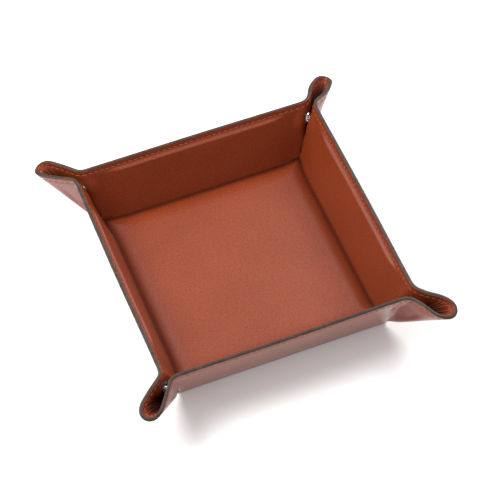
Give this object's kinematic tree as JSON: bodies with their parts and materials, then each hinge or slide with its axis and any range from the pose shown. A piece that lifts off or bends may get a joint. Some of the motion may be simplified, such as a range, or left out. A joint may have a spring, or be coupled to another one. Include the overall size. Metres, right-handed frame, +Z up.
{
  "type": "snap-corner valet tray",
  "caption": "Square leather catch-all tray whose four stiffened walls fold up from a padded floor and whose corners pinch into open ears held by hidden-back press snaps.",
  "frame": {"origin": "centre of the underside, on the surface the tray rests on", "axes": "+Z up, -Y front wall, +X right wall"},
  "size_m": [0.1834, 0.1834, 0.0381],
  "materials": {
    "outer_leather": "smooth satin",
    "lining_leather": "smooth satin",
    "edge_paint": "satin edge paint",
    "thread": "waxed thread",
    "board": "grey board",
    "foam": "foam",
    "snap_metal": "polished nickel"
  },
  "bodies": {
    "base": {"base_leather": "outer_leather", "base_board": "board", "base_foam": "foam", "base_lining": "lining_leather"},
    "front_wall": {"front_wall_leather": "outer_leather", "front_wall_board": "board", "front_wall_lining": "lining_leather"},
    "right_wall": {"right_wall_leather": "outer_leather", "right_wall_board": "board", "right_wall_lining": "lining_leather"},
    "back_wall": {"back_wall_leather": "outer_leather", "back_wall_board": "board", "back_wall_lining": "lining_leather"},
    "left_wall": {"left_wall_leather": "outer_leather", "left_wall_board": "board", "left_wall_lining": "lining_leather"},
    "flank_front_at_left": {"flank_front_at_left_leather": "outer_leather", "flank_front_at_left_lining": "lining_leather", "socket_left_front": "snap_metal", "socket_rivet_left_front": "snap_metal"},
    "tip_front_at_left": {"tip_front_at_left": "outer_leather"},
    "flank_front_at_right": {"flank_front_at_right_leather": "outer_leather", "flank_front_at_right_lining": "lining_leather", "stud_front_right": "snap_metal", "stud_rivet_front_right": "snap_metal"},
    "tip_front_at_right": {"tip_front_at_right": "outer_leather"},
    "flank_right_at_front": {"flank_right_at_front_leather": "outer_leather", "flank_right_at_front_lining": "lining_leather", "socket_front_right": "snap_metal", "socket_rivet_front_right": "snap_metal"},
    "tip_right_at_front": {"tip_right_at_front": "outer_leather"},
    "flank_right_at_back": {"flank_right_at_back_leather": "outer_leather", "flank_right_at_back_lining": "lining_leather", "stud_right_back": "snap_metal", "stud_rivet_right_back": "snap_metal"},
    "tip_right_at_back": {"tip_right_at_back": "outer_leather"},
    "flank_back_at_right": {"flank_back_at_right_leather": "outer_leather", "flank_back_at_right_lining": "lining_leather", "socket_right_back": "snap_metal", "socket_rivet_right_back": "snap_metal"},
    "tip_back_at_right": {"tip_back_at_right": "outer_leather"},
    "flank_back_at_left": {"flank_back_at_left_leather": "outer_leather", "flank_back_at_left_lining": "lining_leather", "stud_back_left": "snap_metal", "stud_rivet_back_left": "snap_metal"},
    "tip_back_at_left": {"tip_back_at_left": "outer_leather"},
    "flank_left_at_back": {"flank_left_at_back_leather": "outer_leather", "flank_left_at_back_lining": "lining_leather", "socket_back_left": "snap_metal", "socket_rivet_back_left": "snap_metal"},
    "tip_left_at_back": {"tip_left_at_back": "outer_leather"},
    "flank_left_at_front": {"flank_left_at_front_leather": "outer_leather", "flank_left_at_front_lining": "lining_leather", "stud_left_front": "snap_metal", "stud_rivet_left_front": "snap_metal"},
    "tip_left_at_front": {"tip_left_at_front": "outer_leather"}
  },
  "joints": [
    {"name": "front_wall_fold", "type": "hinge", "parent": "base", "child": "front_wall", "pos_m": [0, -0.0615, 0.0011], "axis": [1, 0, 0], "range_deg": [0, 72.5]},
    {"name": "right_wall_fold", "type": "hinge", "parent": "base", "child": "right_wall", "pos_m": [0.0615, 0, 0.0011], "axis": [0, 1, 0], "range_deg": [0, 72.5]},
    {"name": "back_wall_fold", "type": "hinge", "parent": "base", "child": "back_wall", "pos_m": [0, 0.0615, 0.0011], "axis": [-1, 0, 0], "range_deg": [0, 72.5]},
    {"name": "left_wall_fold", "type": "hinge", "parent": "base", "child": "left_wall", "pos_m": [-0.0615, 0, 0.0011], "axis": [0, -1, 0], "range_deg": [0, 72.5]},
    {"name": "flank_fold_front_at_left", "type": "hinge", "parent": "front_wall", "child": "flank_front_at_left", "pos_m": [-0.0615, -0.0615, 0.0011], "axis": [-0.1736, -0.2961, 0.9392], "range_deg": [-48.8, 0]},
    {"name": "tip_fold_front_at_left", "type": "hinge", "parent": "flank_front_at_left", "child": "tip_front_at_left", "pos_m": [-0.0615, -0.0615, 0.0011], "axis": [-0.4748, -0.598, 0.6457], "range_deg": [0, 88.73]},
    {"name": "flank_fold_front_at_right", "type": "hinge", "parent": "front_wall", "child": "flank_front_at_right", "pos_m": [0.0615, -0.0615, 0.0011], "axis": [0.1736, -0.2961, 0.9392], "range_deg": [0, 48.8]},
    {"name": "tip_fold_front_at_right", "type": "hinge", "parent": "flank_front_at_right", "child": "tip_front_at_right", "pos_m": [0.0615, -0.0615, 0.0011], "axis": [0.4748, -0.598, 0.6457], "range_deg": [-88.73, 0]},
    {"name": "flank_fold_right_at_front", "type": "hinge", "parent": "right_wall", "child": "flank_right_at_front", "pos_m": [0.0615, -0.0615, 0.0011], "axis": [0.2961, -0.1736, 0.9392], "range_deg": [-48.8, 0]},
    {"name": "tip_fold_right_at_front", "type": "hinge", "parent": "flank_right_at_front", "child": "tip_right_at_front", "pos_m": [0.0615, -0.0615, 0.0011], "axis": [0.598, -0.4748, 0.6457], "range_deg": [0, 88.73]},
    {"name": "flank_fold_right_at_back", "type": "hinge", "parent": "right_wall", "child": "flank_right_at_back", "pos_m": [0.0615, 0.0615, 0.0011], "axis": [0.2961, 0.1736, 0.9392], "range_deg": [0, 48.8]},
    {"name": "tip_fold_right_at_back", "type": "hinge", "parent": "flank_right_at_back", "child": "tip_right_at_back", "pos_m": [0.0615, 0.0615, 0.0011], "axis": [0.598, 0.4748, 0.6457], "range_deg": [-88.73, 0]},
    {"name": "flank_fold_back_at_right", "type": "hinge", "parent": "back_wall", "child": "flank_back_at_right", "pos_m": [0.0615, 0.0615, 0.0011], "axis": [0.1736, 0.2961, 0.9392], "range_deg": [-48.8, 0]},
    {"name": "tip_fold_back_at_right", "type": "hinge", "parent": "flank_back_at_right", "child": "tip_back_at_right", "pos_m": [0.0615, 0.0615, 0.0011], "axis": [0.4748, 0.598, 0.6457], "range_deg": [0, 88.73]},
    {"name": "flank_fold_back_at_left", "type": "hinge", "parent": "back_wall", "child": "flank_back_at_left", "pos_m": [-0.0615, 0.0615, 0.0011], "axis": [-0.1736, 0.2961, 0.9392], "range_deg": [0, 48.8]},
    {"name": "tip_fold_back_at_left", "type": "hinge", "parent": "flank_back_at_left", "child": "tip_back_at_left", "pos_m": [-0.0615, 0.0615, 0.0011], "axis": [-0.4748, 0.598, 0.6457], "range_deg": [-88.73, 0]},
    {"name": "flank_fold_left_at_back", "type": "hinge", "parent": "left_wall", "child": "flank_left_at_back", "pos_m": [-0.0615, 0.0615, 0.0011], "axis": [-0.2961, 0.1736, 0.9392], "range_deg": [-48.8, 0]},
    {"name": "tip_fold_left_at_back", "type": "hinge", "parent": "flank_left_at_back", "child": "tip_left_at_back", "pos_m": [-0.0615, 0.0615, 0.0011], "axis": [-0.598, 0.4748, 0.6457], "range_deg": [0, 88.73]},
    {"name": "flank_fold_left_at_front", "type": "hinge", "parent": "left_wall", "child": "flank_left_at_front", "pos_m": [-0.0615, -0.0615, 0.0011], "axis": [-0.2961, -0.1736, 0.9392], "range_deg": [0, 48.8]},
    {"name": "tip_fold_left_at_front", "type": "hinge", "parent": "flank_left_at_front", "child": "tip_left_at_front", "pos_m": [-0.0615, -0.0615, 0.0011], "axis": [-0.598, -0.4748, 0.6457], "range_deg": [-88.73, 0]}
  ],
  "couplings": [
    {"joint": "right_wall_fold", "follows": "front_wall_fold", "ratio": 1},
    {"joint": "back_wall_fold", "follows": "front_wall_fold", "ratio": 1},
    {"joint": "left_wall_fold", "follows": "front_wall_fold", "ratio": 1},
    {"joint": "flank_fold_front_at_left", "follows": "front_wall_fold", "ratio": -0.67302},
    {"joint": "tip_fold_front_at_left", "follows": "front_wall_fold", "ratio": 1.2237},
    {"joint": "flank_fold_front_at_right", "follows": "front_wall_fold", "ratio": 0.67302},
    {"joint": "tip_fold_front_at_right", "follows": "front_wall_fold", "ratio": -1.2237},
    {"joint": "flank_fold_right_at_front", "follows": "front_wall_fold", "ratio": -0.67302},
    {"joint": "tip_fold_right_at_front", "follows": "front_wall_fold", "ratio": 1.2237},
    {"joint": "flank_fold_right_at_back", "follows": "front_wall_fold", "ratio": 0.67302},
    {"joint": "tip_fold_right_at_back", "follows": "front_wall_fold", "ratio": -1.2237},
    {"joint": "flank_fold_back_at_right", "follows": "front_wall_fold", "ratio": -0.67302},
    {"joint": "tip_fold_back_at_right", "follows": "front_wall_fold", "ratio": 1.2237},
    {"joint": "flank_fold_back_at_left", "follows": "front_wall_fold", "ratio": 0.67302},
    {"joint": "tip_fold_back_at_left", "follows": "front_wall_fold", "ratio": -1.2237},
    {"joint": "flank_fold_left_at_back", "follows": "front_wall_fold", "ratio": -0.67302},
    {"joint": "tip_fold_left_at_back", "follows": "front_wall_fold", "ratio": 1.2237},
    {"joint": "flank_fold_left_at_front", "follows": "front_wall_fold", "ratio": 0.67302},
    {"joint": "tip_fold_left_at_front", "follows": "front_wall_fold", "ratio": -1.2237}
  ]
}
